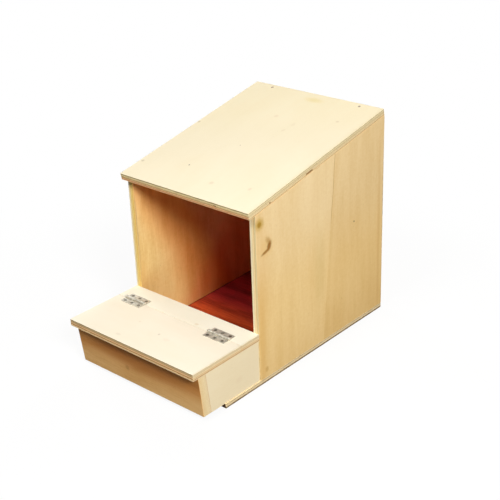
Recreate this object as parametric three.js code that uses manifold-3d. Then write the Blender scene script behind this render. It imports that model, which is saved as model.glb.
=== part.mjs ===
// A chicken nesting box in plywood: an open-fronted house under a sloping roof, and an egg tray
// in front of it under a hinged lid. Millimetres, +Z up, the open front towards -Y.
// The origin is the middle of the box's outline on the ground.

import * as THREE from 'three';
import { mergeVertices } from 'three/addons/utils/BufferGeometryUtils.js';
import Module from 'manifold-3d';

const wasm = await Module();
wasm.setup();

// House: heights are taken from the ground to the top of the side panels
const houseWidth = 300;
const houseDepth = 360;
const frontHeight = 320;
const rearHeight = 392;
const plyThickness = 13;
const roofOverhang = 14;

// Base board, which carries the house and runs on under the tray: 450 long in all
const baseApron = 90;
const baseThickness = 9;

// Egg floor: one thin sheet from the rear panel to the tray's front board, rising to the rear
const floorThickness = 3;
const floorRise = 6;
const floorSideGap = 0.5;
const floorEndGap = 1;
const cleatWidth = 20;

// Egg tray: its front board leans out from the foot to the rim
const trayDepth = 141;
const trayRimHeight = 88.5;
const trayInset = 2;
const trayFrontThickness = 18;
const trayFrontLean = 9;

// Lid, and the fixed strip that it hinges on
const stripWidth = 45;
const lidGap = 0.6;
const lidOverhang = 12;

// Butt hinges, screwed on top of the strip and the lid, as a pair a little to the left of the middle
const hingeSpacing = 204;
const hingeShift = -3.3;
const leafLength = 48;
const leafWidth = 15.5;
const leafThickness = 1.1;
const pinDiameter = 2.6;
const pinClearance = 0.25;
const pinHeadDiameter = 4.2;
const pinHeadHeight = 1;
const knuckleCount = 5;
const knuckleGap = 0.4;
const knuckleRelief = 0.4;
const curlOpening = THREE.MathUtils.degToRad(70);

// Countersunk screws with a cross recess
const screwsPerLeaf = 3;
const screwEndMargin = 7;
const screwEdgeMargin = 5.6;
const screwLength = 12;
const screwDiameter = 2.8;
const screwHeadDiameter = 6;
const screwPointLength = 3;
const recessLength = 3.4;
const recessWidth = 0.8;
const recessDepth = 1.1;
const screwTurnStep = THREE.MathUtils.degToRad(37);

// Wire nails with round heads, and brads with small heads that are punched in below the surface
const nailLength = 35;
const nailDiameter = 2.2;
const nailHeadDiameter = 5;
const nailHeadHeight = 0.8;
const roofNailOffset = 103;
const bradLength = 30;
const bradDiameter = 1.5;
const bradHeadDiameter = 2.6;
const bradHeadHeight = 1;
const bradSink = 1.2;
const bradEndMargin = 30;
const trayBradMargin = 14;
const trayBradDrop = 28;
const roofBradCount = 3;
const panelBradCount = 2;
const trayBradCount = 2;

// Clearances: between a piece and its seat, round a driven fastener, and past a cut
const seatGap = 0.3;
const holeGap = 0.3;
const overrun = 2;

// Facets round the hinge curls and the fasteners
const curlFacets = 18;
const pinFacets = 20;
const screwFacets = 12;
const bradFacets = 6;

// Worked out from the sizes above
const halfWidth = houseWidth / 2;
const innerHalfWidth = halfWidth - plyThickness;
const sideMiddle = halfWidth - plyThickness / 2;
const rearMiddle = houseDepth - plyThickness / 2;
const rearInside = houseDepth - plyThickness;
const roofPitch = Math.atan2(rearHeight - frontHeight, houseDepth);
const roofRun = houseDepth / Math.cos(roofPitch);
const baseFront = -baseApron;
const trayFoot = -trayDepth;
const trayRim = trayFoot - trayFrontLean;
const trayLean = Math.atan2(trayFrontLean, trayRimHeight - baseThickness);
const frontBoardRun = trayFrontThickness / Math.cos(trayLean);
const trayHalfWidth = halfWidth - trayInset;
const trayInnerHalfWidth = trayHalfWidth - plyThickness;
const traySideMiddle = trayHalfWidth - plyThickness / 2;
const lidFront = trayRim - lidOverhang;
const lidUnderside = trayRimHeight + seatGap;
const lidTop = lidUnderside + plyThickness;
const boreRadius = pinDiameter / 2 + pinClearance;
const knuckleRadius = boreRadius + leafThickness;
const knucklePitch = leafLength / knuckleCount;
const hingeY = -stripWidth - lidGap / 2;
const houseFrontY = (-lidFront - houseDepth) / 2;

const xAxis = new THREE.Vector3(1, 0, 0);
const yAxis = new THREE.Vector3(0, 1, 0);
const zAxis = new THREE.Vector3(0, 0, 1);

// Solids and meshes

function toSolid(geometry) {
  const bare = geometry.clone();
  bare.deleteAttribute('normal');
  bare.deleteAttribute('uv');
  const merged = mergeVertices(bare);
  const vertProperties = new Float32Array(merged.attributes.position.array);
  const triVerts = new Uint32Array(merged.index.array);
  return new wasm.Manifold(new wasm.Mesh({ numProp: 3, vertProperties, triVerts }));
}

function toGeometry(solid) {
  const { vertProperties, triVerts } = solid.getMesh();
  const geometry = new THREE.BufferGeometry();
  geometry.setAttribute('position', new THREE.BufferAttribute(vertProperties, 3));
  geometry.setIndex(new THREE.BufferAttribute(triVerts, 1));
  geometry.computeVertexNormals();
  return geometry;
}

function cut(geometry, cutters) {
  let solid = toSolid(geometry);
  for (const cutter of cutters) {
    solid = solid.subtract(toSolid(cutter));
  }
  return toGeometry(solid);
}

function mesh(name, geometry, colour, roughness, metalness = 0) {
  const material = new THREE.MeshStandardMaterial({ color: colour, roughness, metalness });
  const piece = new THREE.Mesh(geometry, material);
  piece.name = name;
  return piece;
}

// A block between two corners
function block(fromX, toX, fromY, toY, fromZ, toZ) {
  const geometry = new THREE.BoxGeometry(toX - fromX, toY - fromY, toZ - fromZ);
  return geometry.translate((fromX + toX) / 2, (fromY + toY) / 2, (fromZ + toZ) / 2);
}

// A side outline with points [y, z], drawn out along X
function sideProfile(shape, fromX, toX, curveSegments = 1) {
  const geometry = new THREE.ExtrudeGeometry(shape, {
    depth: toX - fromX,
    bevelEnabled: false,
    curveSegments,
  });
  geometry.applyMatrix4(new THREE.Matrix4().makeBasis(yAxis, zAxis, xAxis));
  return geometry.translate(fromX, 0, 0);
}

function outline(points) {
  return new THREE.Shape(points.map(([y, z]) => new THREE.Vector2(y, z)));
}

// Fasteners: each stands with its entry into the board at the origin and its point towards -Y.
// With a gap, each is the cutter for its own hole

function turned(profile, facets) {
  const points = profile.map(([radius, height]) => new THREE.Vector2(radius, height));
  return new THREE.LatheGeometry(points, facets);
}

function nail(length, diameter, headDiameter, headHeight, sink, facets, gap = 0) {
  const shankRadius = diameter / 2 + gap;
  const headRadius = headDiameter / 2 + gap;
  const top = gap > 0 ? overrun : -sink;
  const neck = -sink - headHeight - gap;
  const point = -sink - length - gap;
  return turned([
    [0, point],
    [shankRadius, point + diameter],
    [shankRadius, neck],
    [headRadius, neck],
    [headRadius, top],
    [0, top],
  ], facets);
}

function wireNail(gap) {
  return nail(nailLength, nailDiameter, nailHeadDiameter, nailHeadHeight, 0, screwFacets, gap);
}

function brad(gap) {
  return nail(bradLength, bradDiameter, bradHeadDiameter, bradHeadHeight, bradSink, bradFacets, gap);
}

function screwBlank(gap = 0) {
  const shankRadius = screwDiameter / 2 + gap;
  const headRadius = screwHeadDiameter / 2 + gap;
  const top = gap > 0 ? overrun : 0;
  return turned([
    [0, -screwLength - gap],
    [shankRadius, screwPointLength - screwLength - gap],
    [shankRadius, shankRadius - headRadius],
    [headRadius, 0],
    ...(gap > 0 ? [[headRadius, top]] : []),
    [0, top],
  ], screwFacets);
}

function screw() {
  const halfLength = recessLength / 2;
  const halfSlot = recessWidth / 2;
  const slot = block(-halfLength, halfLength, -recessDepth, overrun, -halfSlot, halfSlot);
  return cut(screwBlank(), [slot, slot.clone().rotateY(Math.PI / 2)]);
}

// The turn that points a fastener along the direction in which it is driven
function aim(direction) {
  return new THREE.Quaternion().setFromUnitVectors(yAxis.clone().negate(), direction);
}

// The cutter for one fastener's hole
function holeAt(cutter, { at, direction }) {
  return cutter.clone().applyQuaternion(aim(direction)).translate(at.x, at.y, at.z);
}

function holesAt(cutter, places) {
  return places.map((spot) => holeAt(cutter, spot));
}

// One mesh for each place, all of the same shape
function fasteners(name, geometry, places, colour) {
  return places.map((spot, i) => {
    const piece = steelMesh(`${name}_${spot.label}`, geometry, colour);
    piece.position.copy(spot.at);
    piece.quaternion.copy(aim(spot.direction));
    piece.rotateY(i * screwTurnStep);
    return piece;
  });
}

// Evenly spaced values from first to last, both included
function spaced(first, last, count) {
  return Array.from({ length: count }, (_, i) => first + (i * (last - first)) / (count - 1));
}

// Where the fasteners go, all in the house's own frame

const up = zAxis;
const down = zAxis.clone().negate();
const roofDown = down.clone().applyAxisAngle(xAxis, roofPitch);
const sides = [['left', -1], ['right', 1]];

function place(x, y, z, direction) {
  return { at: new THREE.Vector3(x, y, z), direction };
}

// The same places on the left and on the right, numbered on each side
function onBothSides(placesAt) {
  return sides.flatMap(([side, sign]) =>
    placesAt(sign).map((spot, i) => ({ ...spot, side, label: `${side}_${i + 1}` })));
}

function onSide(side, ...sets) {
  return sets.flat().filter((spot) => spot.side === side);
}

// A place on top of the roof: across the box, and up the slope from the front of the side panels
function roofPlace(x, along) {
  const spot = new THREE.Vector3(0, along, plyThickness).applyAxisAngle(xAxis, roofPitch);
  return place(x, spot.y, spot.z + frontHeight + seatGap, roofDown);
}

const roofBradPlaces = onBothSides((sign) =>
  spaced(bradEndMargin, roofRun - bradEndMargin, roofBradCount)
    .map((along) => roofPlace(sign * sideMiddle, along)));

// The roof's nails enter the rear panel near its inside face, and slant back into its thickness
const roofNailAlong = (rearInside + plyThickness / 4) / Math.cos(roofPitch);
const roofNailPlaces = onBothSides((sign) => [roofPlace(sign * roofNailOffset, roofNailAlong)]);

const rearBradPlaces = onBothSides((sign) =>
  spaced(baseThickness + bradEndMargin, frontHeight - bradEndMargin, panelBradCount)
    .map((z) => place(sign * halfWidth, rearMiddle, z, xAxis.clone().multiplyScalar(-sign))));

const baseBradPlaces = onBothSides((sign) =>
  spaced(bradEndMargin, houseDepth - bradEndMargin, panelBradCount)
    .map((y) => place(sign * sideMiddle, y, 0, up)));

const trayBaseBradPlaces = onBothSides((sign) =>
  spaced(baseFront + trayBradMargin, -trayBradMargin, trayBradCount)
    .map((y) => place(sign * traySideMiddle, y, 0, up)));

const stripBradPlaces = onBothSides((sign) =>
  spaced(trayBradMargin - stripWidth, -trayBradMargin, trayBradCount)
    .map((y) => place(sign * traySideMiddle, y, lidTop, down)));

// Brads through the leaning front board, square to its face
const frontBoardInwards = yAxis.clone().applyAxisAngle(xAxis, trayLean);
const trayFrontBradPlaces = onBothSides((sign) =>
  spaced(baseThickness + trayBradMargin, trayRimHeight - trayBradDrop, trayBradCount)
    .map((z) => {
      const y = trayFoot - (z - baseThickness) * Math.tan(trayLean);
      return place(sign * traySideMiddle, y, z, frontBoardInwards);
    }));

function hingePlace(sign) {
  return hingeShift + (sign * hingeSpacing) / 2;
}

// The hinges' screws. Facing is 1 for the leaves on the strip, behind the pin, and -1 for the
// leaves on the lid, and y and z give the pin's line on the board's top
function leafScrewPlaces(facing, y, z) {
  const firstX = screwEndMargin - leafLength / 2;
  const screwY = facing * (leafWidth - screwEdgeMargin);
  return onBothSides((sign) => spaced(firstX, -firstX, screwsPerLeaf)
    .map((x) => place(hingePlace(sign) + x, y + screwY, z + leafThickness, down)));
}

const stripScrewPlaces = leafScrewPlaces(1, hingeY, lidTop);
const lidScrewPlaces = leafScrewPlaces(-1, 0, -knuckleRadius);

// House

function sidePanel(side, fromX, toX) {
  const board = sideProfile(outline([
    [0, baseThickness],
    [houseDepth, baseThickness],
    [houseDepth, rearHeight],
    [0, frontHeight],
  ]), fromX, toX);
  const places = onSide(side, roofBradPlaces, rearBradPlaces, baseBradPlaces);
  return cut(board, holesAt(brad(holeGap), places));
}

function roofPanel() {
  const board = block(-halfWidth, halfWidth, -roofOverhang, roofRun, 0, plyThickness);
  board.rotateX(roofPitch).translate(0, 0, frontHeight + seatGap);
  const bradHoles = holesAt(brad(holeGap), roofBradPlaces);
  return cut(board, [...bradHoles, ...holesAt(wireNail(holeGap), roofNailPlaces)]);
}

// The rear panel stands between the side panels, its top edge cut to the roof's slope
function rearPanel() {
  const insideHeight = frontHeight + rearInside * Math.tan(roofPitch);
  const board = sideProfile(outline([
    [rearInside, baseThickness],
    [houseDepth, baseThickness],
    [houseDepth, rearHeight],
    [rearInside, insideHeight],
  ]), -innerHalfWidth, innerHalfWidth);
  const bradHoles = holesAt(brad(holeGap), rearBradPlaces);
  return cut(board, [...bradHoles, ...holesAt(wireNail(holeGap), roofNailPlaces)]);
}

function baseBoard() {
  const board = block(-halfWidth, halfWidth, baseFront, houseDepth, 0, baseThickness);
  return cut(board, holesAt(brad(holeGap), [...baseBradPlaces, ...trayBaseBradPlaces]));
}

// Egg floor and its cleats

// Height of the floor sheet's underside: it rests on the base's front edge and rises to the rear
function floorUnderside(y) {
  const rise = (floorRise * (y - baseFront)) / (rearInside - baseFront);
  return baseThickness + seatGap + rise;
}

function nestFloor() {
  const front = trayFoot + frontBoardRun + floorEndGap;
  const rear = rearInside - floorEndGap;
  const halfSpan = trayInnerHalfWidth - floorSideGap;
  return sideProfile(outline([
    [front, floorUnderside(front)],
    [rear, floorUnderside(rear)],
    [rear, floorUnderside(rear) + floorThickness],
    [front, floorUnderside(front) + floorThickness],
  ]), -halfSpan, halfSpan);
}

// A batten across the base board, its top planed to the floor's rise
function floorCleat(rear) {
  const front = rear - cleatWidth;
  const halfSpan = trayInnerHalfWidth - floorSideGap;
  return sideProfile(outline([
    [front, baseThickness],
    [rear, baseThickness],
    [rear, floorUnderside(rear) - seatGap],
    [front, floorUnderside(front) - seatGap],
  ]), -halfSpan, halfSpan);
}

// Egg tray

function traySide(side, fromX, toX) {
  const foot = trayFoot + frontBoardRun + seatGap;
  const board = sideProfile(outline([
    [foot, baseThickness],
    [0, baseThickness],
    [0, trayRimHeight],
    [foot - trayFrontLean, trayRimHeight],
  ]), fromX, toX);
  const places = onSide(side, trayBaseBradPlaces, trayFrontBradPlaces, stripBradPlaces);
  return cut(board, holesAt(brad(holeGap), places));
}

function trayFrontBoard() {
  const board = sideProfile(outline([
    [trayFoot, baseThickness],
    [trayFoot + frontBoardRun, baseThickness],
    [trayRim + frontBoardRun, trayRimHeight],
    [trayRim, trayRimHeight],
  ]), -trayHalfWidth, trayHalfWidth);
  return cut(board, holesAt(brad(holeGap), trayFrontBradPlaces));
}

function hingeStrip() {
  const board = block(-halfWidth, halfWidth, -stripWidth, 0, lidUnderside, lidTop);
  const screwHoles = holesAt(screwBlank(holeGap), stripScrewPlaces);
  return cut(board, [...screwHoles, ...holesAt(brad(holeGap), stripBradPlaces)]);
}

// The lid, in a frame whose origin is on the hinge pins' axis
function trayLid() {
  const rear = -lidGap / 2;
  const top = -knuckleRadius;
  const board = block(-halfWidth, halfWidth, lidFront - hingeY, rear, top - plyThickness, top);
  return cut(board, holesAt(screwBlank(holeGap), lidScrewPlaces));
}

// Butt hinge: the origin is the middle of the hinge on the board's top, the leaf goes towards +Y

// The leaf's section: a flat plate that runs in under the pin and curls round it
function leafSection() {
  const start = -Math.PI / 2;
  const end = start - (2 * Math.PI - curlOpening);
  const section = new THREE.Shape();
  section.moveTo(leafWidth, 0);
  section.lineTo(0, 0);
  section.absarc(0, knuckleRadius, knuckleRadius, start, end, true);
  section.absarc(0, knuckleRadius, boreRadius, end, start, false);
  section.lineTo(leafWidth, leafThickness);
  return section;
}

// One leaf keeps the knuckles whose number is odd or even, and is notched for the others
function leaf(keepsOdd) {
  const half = leafLength / 2;
  const cutters = [];
  for (let i = 0; i < knuckleCount; i += 1) {
    const isOdd = i % 2 === 1;
    if (isOdd !== keepsOdd) {
      const isFirst = i === 0;
      const isLast = i === knuckleCount - 1;
      const fromX = i * knucklePitch - half - (isFirst ? overrun : knuckleGap / 2);
      const toX = (i + 1) * knucklePitch - half + (isLast ? overrun : knuckleGap / 2);
      const reach = knuckleRadius + knuckleRelief;
      cutters.push(block(fromX, toX, -reach, reach, -overrun, knuckleRadius + reach));
    }
  }
  for (const x of spaced(screwEndMargin - half, half - screwEndMargin, screwsPerLeaf)) {
    const spot = place(x, leafWidth - screwEdgeMargin, leafThickness, down);
    cutters.push(holeAt(screwBlank(holeGap), spot));
  }
  return cut(sideProfile(leafSection(), -half, half, curlFacets), cutters);
}

// The pin runs along X on the knuckles' axis, with a domed head peened on each end
function hingePin() {
  const half = leafLength / 2 + pinClearance;
  const radius = pinDiameter / 2;
  const headRadius = pinHeadDiameter / 2;
  const geometry = turned([
    [0, -half - pinHeadHeight],
    [radius, -half - pinHeadHeight],
    [headRadius, -half - pinHeadHeight / 2],
    [headRadius, -half],
    [radius, -half],
    [radius, half],
    [headRadius, half],
    [headRadius, half + pinHeadHeight / 2],
    [radius, half + pinHeadHeight],
    [0, half + pinHeadHeight],
  ], pinFacets);
  return geometry.rotateZ(Math.PI / 2).translate(0, 0, knuckleRadius);
}

// Finishes

const paleBirch = 0xf2dcb0;
const sideBirch = 0xe2c68e;
const trayBirch = 0xe8d3a6;
const frontPine = 0xc79a62;
const stainedRed = 0x8e2a18;
const cleatPine = 0xd9b987;
const zincSteel = 0x9aa0a0;
const nailSteel = 0x7d7a74;

const woodRoughness = 0.62;
const floorRoughness = 0.5;
const steelRoughness = 0.35;
const steelMetalness = 0.9;

function boardMesh(name, geometry, colour) {
  return mesh(name, geometry, colour, woodRoughness);
}

function steelMesh(name, geometry, colour) {
  return mesh(name, geometry, colour, steelRoughness, steelMetalness);
}

// Assembly

function makeHouse() {
  const house = new THREE.Group();
  house.add(
    boardMesh('base_board', baseBoard(), sideBirch),
    boardMesh('left_side_panel', sidePanel('left', -halfWidth, -innerHalfWidth), sideBirch),
    boardMesh('right_side_panel', sidePanel('right', innerHalfWidth, halfWidth), sideBirch),
    boardMesh('rear_panel', rearPanel(), sideBirch),
    boardMesh('roof_panel', roofPanel(), paleBirch),
    mesh('nest_floor', nestFloor(), stainedRed, floorRoughness),
    boardMesh('floor_rear_cleat', floorCleat(rearInside), cleatPine),
    boardMesh('floor_middle_cleat', floorCleat(rearInside / 2 + cleatWidth / 2), cleatPine),
    ...fasteners('roof_brad', brad(), roofBradPlaces, nailSteel),
    ...fasteners('roof_nail', wireNail(), roofNailPlaces, nailSteel),
    ...fasteners('rear_brad', brad(), rearBradPlaces, nailSteel),
    ...fasteners('base_brad', brad(), baseBradPlaces, nailSteel),
  );
  return house;
}

function makeTray() {
  const tray = new THREE.Group();
  tray.add(
    boardMesh('tray_left_side', traySide('left', -trayHalfWidth, -trayInnerHalfWidth), trayBirch),
    boardMesh('tray_right_side', traySide('right', trayInnerHalfWidth, trayHalfWidth), trayBirch),
    boardMesh('tray_front_board', trayFrontBoard(), frontPine),
    boardMesh('hinge_strip', hingeStrip(), paleBirch),
    ...fasteners('tray_base_brad', brad(), trayBaseBradPlaces, nailSteel),
    ...fasteners('tray_front_brad', brad(), trayFrontBradPlaces, nailSteel),
    ...fasteners('strip_brad', brad(), stripBradPlaces, nailSteel),
    ...fasteners('strip_screw', screw(), stripScrewPlaces, zincSteel),
  );
  return tray;
}

// The leaves on the strip and the pins, which stay still
function makeFixedHinges() {
  const hinges = new THREE.Group();
  for (const [side, sign] of sides) {
    const fixedLeaf = steelMesh(`${side}_hinge_strip_leaf`, leaf(false), zincSteel);
    const pin = steelMesh(`${side}_hinge_pin`, hingePin(), zincSteel);
    fixedLeaf.position.x = hingePlace(sign);
    pin.position.x = hingePlace(sign);
    hinges.add(fixedLeaf, pin);
  }
  hinges.position.set(0, hingeY, lidTop);
  return hinges;
}

// What swings: the lid, its screws and the hinges' lid leaves, from the pins' axis
function makeLid() {
  const lid = new THREE.Group();
  lid.add(
    boardMesh('tray_lid', trayLid(), paleBirch),
    ...fasteners('lid_screw', screw(), lidScrewPlaces, zincSteel),
  );
  for (const [side, sign] of sides) {
    const lidLeaf = steelMesh(`${side}_hinge_lid_leaf`, leaf(true), zincSteel);
    lidLeaf.position.set(hingePlace(sign), 0, -knuckleRadius);
    lidLeaf.rotation.z = Math.PI;
    lid.add(lidLeaf);
  }
  lid.position.set(0, hingeY, lidTop + knuckleRadius);
  return lid;
}

const nestingBox = new THREE.Group();
nestingBox.add(makeHouse(), makeTray(), makeFixedHinges(), makeLid());
nestingBox.position.y = houseFrontY;

export default nestingBox;
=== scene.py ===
# Chicken nesting box in plywood: finished boards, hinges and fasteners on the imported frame.
# In the dictionaries lengths are millimetres, angles are degrees, and the colours of wood are screen
# values up to 255. Places are in the frame's own axes
import math

import bmesh
import bpy
from mathutils import Matrix, Vector, noise


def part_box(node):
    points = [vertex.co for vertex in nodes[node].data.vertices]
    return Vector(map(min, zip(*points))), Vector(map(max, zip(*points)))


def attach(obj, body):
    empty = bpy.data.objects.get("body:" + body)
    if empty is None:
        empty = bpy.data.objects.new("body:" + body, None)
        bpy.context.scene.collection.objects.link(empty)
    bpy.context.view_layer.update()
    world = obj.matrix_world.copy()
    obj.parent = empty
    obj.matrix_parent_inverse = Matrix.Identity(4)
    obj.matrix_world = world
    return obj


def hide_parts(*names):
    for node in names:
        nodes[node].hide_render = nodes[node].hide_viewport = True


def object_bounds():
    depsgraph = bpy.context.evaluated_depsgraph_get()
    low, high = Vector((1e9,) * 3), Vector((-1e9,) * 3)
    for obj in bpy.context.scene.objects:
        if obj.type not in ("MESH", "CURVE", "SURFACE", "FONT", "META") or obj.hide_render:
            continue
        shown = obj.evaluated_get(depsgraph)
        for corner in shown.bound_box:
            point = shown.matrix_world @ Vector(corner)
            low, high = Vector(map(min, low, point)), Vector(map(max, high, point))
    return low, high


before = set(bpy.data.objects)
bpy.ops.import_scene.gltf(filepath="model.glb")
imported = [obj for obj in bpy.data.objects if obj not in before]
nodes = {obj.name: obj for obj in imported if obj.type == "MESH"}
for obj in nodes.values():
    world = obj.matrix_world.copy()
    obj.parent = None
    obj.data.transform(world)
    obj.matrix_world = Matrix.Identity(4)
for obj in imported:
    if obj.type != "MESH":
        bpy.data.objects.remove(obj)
cadLow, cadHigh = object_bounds()
mm = 0.001
fixedBody, lidBody = "box", "lid"
alongX, alongY, alongZ = (1, 0, 0), (0, 1, 0), (0, 0, 1)
toLeft, toFront, toGround = (-1, 0, 0), (0, -1, 0), (0, 0, -1)
print("frame loaded:", len(nodes), "nodes")


# Helpers for objects

def addObject(name, data):
    item = bpy.data.objects.new(name, data)
    bpy.context.scene.collection.objects.link(item)
    return item


def keepResult(host, modifier, sharpAngle):
    # The modifier's result becomes the object's own mesh
    evaluated = host.evaluated_get(bpy.context.evaluated_depsgraph_get())
    finished = bpy.data.meshes.new_from_object(evaluated)
    host.modifiers.remove(modifier)
    host.data = finished
    finished.shade_smooth()
    finished.set_sharp_from_angle(angle=math.radians(sharpAngle))


def finishPiece(piece, body, slotName, *replaced):
    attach(piece, body)
    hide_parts(*replaced)


# Helpers for nodes

def feed(tree, socket, value):
    # A socket takes another socket's output, or a plain value
    if isinstance(value, bpy.types.NodeSocket):
        tree.links.new(value, socket)
    else:
        socket.default_value = value


def feedAll(tree, node, sockets):
    for label, value in sockets.items():
        feed(tree, node.inputs[label], value)


def addNode(tree, kind, sockets=None, **settings):
    # A node with its settings, and with its sockets fed by name
    node = tree.nodes.new(kind)
    for key, value in settings.items():
        setattr(node, key, value)
    feedAll(tree, node, sockets or {})
    return node


def maths(tree, operation, first, second=0.0, third=0.0, clamp=False):
    node = addNode(tree, "ShaderNodeMath", operation=operation, use_clamp=clamp)
    for socket, value in zip(node.inputs, (first, second, third)):
        feed(tree, socket, value)
    return node.outputs[0]


def vectorMaths(tree, operation, first, second=(0, 0, 0)):
    node = addNode(tree, "ShaderNodeVectorMath", operation=operation)
    feed(tree, node.inputs[0], first)
    feed(tree, node.inputs[1], second)
    return node.outputs["Value" if operation in ("LENGTH", "DOT_PRODUCT") else "Vector"]


def mapRange(tree, value, fromLow, fromHigh, toLow=0.0, toHigh=1.0, smooth=True):
    sockets = {"Value": value, "From Min": fromLow, "From Max": fromHigh, "To Min": toLow, "To Max": toHigh}
    kind = "SMOOTHSTEP" if smooth else "LINEAR"
    return addNode(tree, "ShaderNodeMapRange", sockets, interpolation_type=kind).outputs["Result"]


def noiseAt(tree, coords, stretch, detail=2.0, roughness=0.5, distortion=0.0):
    return addNode(tree, "ShaderNodeTexNoise", {
        "Vector": vectorMaths(tree, "MULTIPLY", coords, stretch), "Scale": 1.0, "Detail": detail,
        "Roughness": roughness, "Distortion": distortion}, noise_dimensions="3D").outputs["Fac"]


def swing(tree, pattern, height):
    # A pattern that runs from 0 to 1 becomes a swing of the given height about zero
    return maths(tree, "MULTIPLY_ADD", pattern, height, -height / 2)


def blendColour(tree, factor, first, second, mode="MIX"):
    node = addNode(tree, "ShaderNodeMix", data_type="RGBA", blend_type=mode)
    feed(tree, node.inputs["Factor"], factor)
    for label, value in (("A", first), ("B", second)):
        socket = [s for s in node.inputs if s.name == label and s.type == "RGBA"][0]
        feed(tree, socket, value if isinstance(value, bpy.types.NodeSocket) else (*value, 1.0))
    return [s for s in node.outputs if s.type == "RGBA"][0]


def toned(tree, colour, share):
    return blendColour(tree, 1.0, colour, share, "MULTIPLY")


def attribute(tree, name):
    return addNode(tree, "ShaderNodeAttribute", attribute_name=name, attribute_type="GEOMETRY")


def objectCoords(tree):
    return addNode(tree, "ShaderNodeTexCoord").outputs["Object"]


def splitAxes(tree, coords):
    return addNode(tree, "ShaderNodeSeparateXYZ", {"Vector": coords}).outputs


def srgb(red, green, blue):
    # A colour as seen on the screen, turned into a linear one
    def linear(c):
        c = c / 255
        return c / 12.92 if c <= 0.04045 else ((c + 0.055) / 1.055) ** 2.4
    return tuple(linear(c) for c in (red, green, blue))


def clearedTree(owner):
    # The node tree of a material or a world, emptied
    owner.use_nodes = True
    owner.node_tree.nodes.clear()
    return owner.node_tree


def newMaterial(name):
    material = bpy.data.materials.new(name)
    tree = clearedTree(material)
    shader = addNode(tree, "ShaderNodeBsdfPrincipled")
    addNode(tree, "ShaderNodeOutputMaterial", {"Surface": shader.outputs[0]})
    return material, tree, shader


def addBump(tree, shader, height, strength, distance):
    bump = addNode(tree, "ShaderNodeBump", {
        "Strength": strength, "Distance": distance * mm, "Height": height})
    feed(tree, shader.inputs["Normal"], bump.outputs["Normal"])


# Veneer. Every board carries an attribute "grain": x runs along the fibres of its face veneer, y across
# them, in metres from the face's middle, and z is a number of the board's own.
# A pattern's three numbers stretch it along the fibres, across them and from board to board
veneer = {
    "cloud": (6, 10, 1),
    "figure": (7, 48, 1),
    "rings": (1.1, 7.5, 1),
    "fibre": (60, 1500, 1),
    "hair": (26, 520, 1),
    "mottle": (170, 120, 1),
    "fleck": (150, 900, 1),
    "fleckPlace": (12, 30, 1),
    "ragged": (260, 420, 0),
    "wander": (14, 0, 0),
    "ringPhase": 46,                  # radians of the rings' wave over their whole field
    "darkness": 0.4,                  # share of the dark tone before any pattern
    "fleckFrom": (0.68, 0.78),        # where a fleck begins to tell, and tells fully
    "fleckPlaceFrom": (0.48, 0.66),
    "fleckShare": 0.5,                # tone of a fleck, as a share of the dark tone
    "fibreRange": (0.3, 0.7),
    "polish": (-0.06, 0.08),          # change of the look's roughness at the ends of that range
    "hairRelief": 0.7,
    "fleckRelief": -0.6,
    "relief": 0.35,
}


def spotMask(tree, coords, mark):
    # 1 in the middle of a soft, slightly ragged ellipse, and 0 outside
    (x, y), (along, across) = mark["at"], mark["size"]
    moved = vectorMaths(tree, "SUBTRACT", coords, (x * mm, y * mm, 0))
    turned = addNode(tree, "ShaderNodeMapping", {
        "Vector": vectorMaths(tree, "MULTIPLY", moved, (1, 1, 0)),
        "Rotation": (0, 0, math.radians(mark["turn"]))}, vector_type="POINT").outputs[0]
    local = vectorMaths(tree, "MULTIPLY", turned, (1 / (along * mm), 1 / (across * mm), 0))
    ragged = swing(tree, noiseAt(tree, coords, veneer["ragged"]), mark["ragged"])
    distance = maths(tree, "ADD", vectorMaths(tree, "LENGTH", local), ragged)
    return mapRange(tree, distance, 1 + mark["soft"], 1 - mark["soft"])


def addSpots(tree, coords, colour, spots):
    for mark in spots:
        mask = maths(tree, "MULTIPLY", spotMask(tree, coords, mark), mark["strength"], clamp=True)
        colour = blendColour(tree, mask, colour, srgb(*mark["colour"]))
    return colour


def addSeam(tree, coords, colour, seam):
    # A joint between two sheets of veneer, which wanders a little. The sheet beyond it has its own tone,
    # and the line fades out along the fibres
    places = splitAxes(tree, coords)
    wander = swing(tree, noiseAt(tree, coords, veneer["wander"], detail=1), seam["wander"] * mm)
    lean = maths(tree, "MULTIPLY_ADD", places["X"], seam["lean"], wander)
    offset = maths(tree, "SUBTRACT", maths(tree, "ADD", places["Y"], lean), seam["at"] * mm)
    blur = seam["blur"] * mm
    beyond = mapRange(tree, maths(tree, "MULTIPLY", offset, seam["side"]), -blur, blur)
    line = mapRange(tree, maths(tree, "ABSOLUTE", offset), seam["width"] * mm, seam["core"] * mm)
    line = maths(tree, "MULTIPLY", line, mapRange(tree, places["X"], *(end * mm for end in seam["ends"])))
    colour = blendColour(tree, beyond, colour, toned(tree, colour, seam["sheet"]))
    mask = maths(tree, "MULTIPLY", line, seam["strength"], clamp=True)
    return blendColour(tree, mask, colour, srgb(*seam["colour"]))


def addPaintedShading(tree, colour, paintedShading):
    # Slow changes of tone along a direction of the box. They are painted light and shade: each one darkens or
    # lightens a surface where the lamps leave it in shade or in light
    places = objectCoords(tree)
    for direction, start, end, tone in paintedShading:
        along = vectorMaths(tree, "DOT_PRODUCT", places, direction)
        fade = mapRange(tree, along, start * mm, end * mm)
        colour = blendColour(tree, fade, colour, toned(tree, colour, tone))
    return colour


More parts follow.
